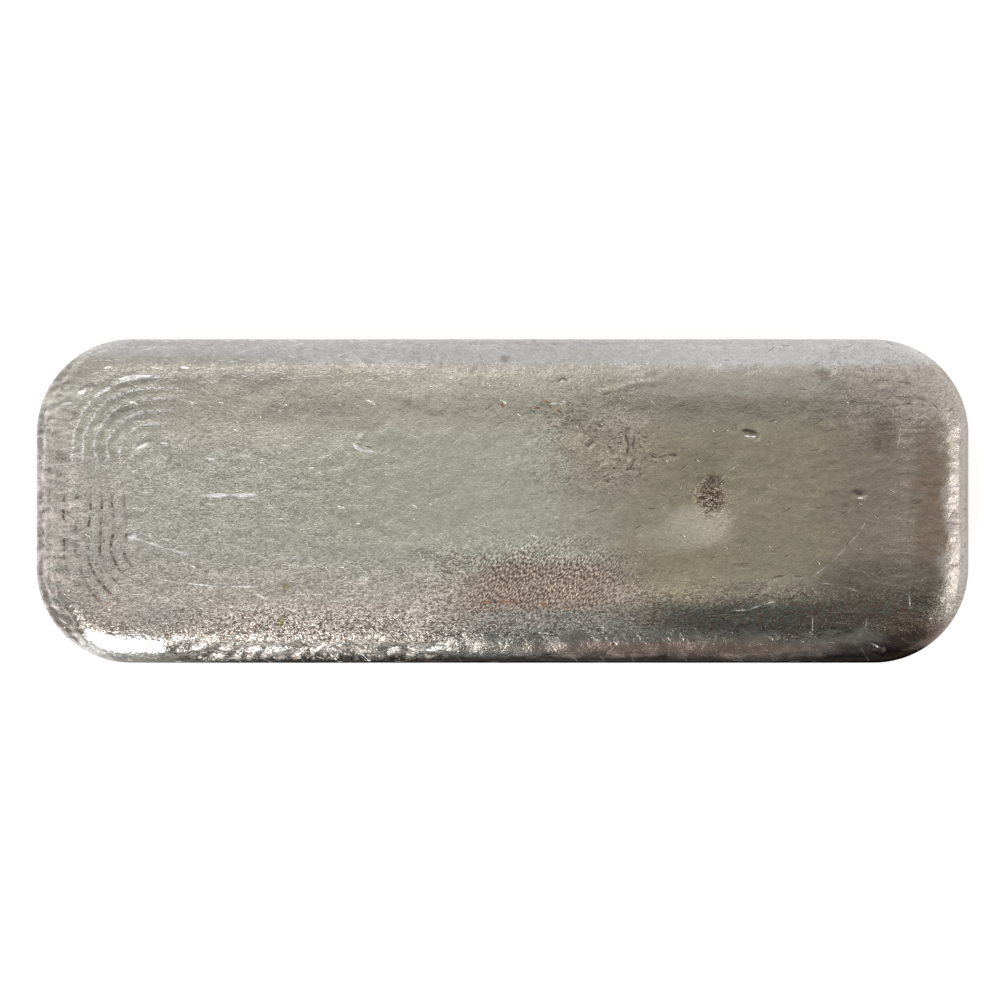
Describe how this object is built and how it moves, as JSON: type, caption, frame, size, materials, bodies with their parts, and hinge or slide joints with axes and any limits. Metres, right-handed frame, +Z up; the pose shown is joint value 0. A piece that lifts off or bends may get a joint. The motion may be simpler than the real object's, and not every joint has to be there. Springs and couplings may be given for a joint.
{
  "type": "silver bar",
  "caption": "Cast silver bar: a long block with rounded corners, drafted mould walls, a rolled pour edge, a shallow sink with cooling ripples and a shrinkage pit.",
  "frame": {"origin": "middle of the flat underside that the bar lies on", "axes": "+X along the length, with the cooling ripples at the -X end; +Y across the width; +Z up, out of the poured face"},
  "size_m": [0.145, 0.0504, 0.0143],
  "materials": {
    "silver": "as-cast silver, satin, unevenly toned, with a matt mould skin on the walls and the underside"
  },
  "bodies": {
    "root": {"silver_bar": "silver"}
  },
  "joints": []
}
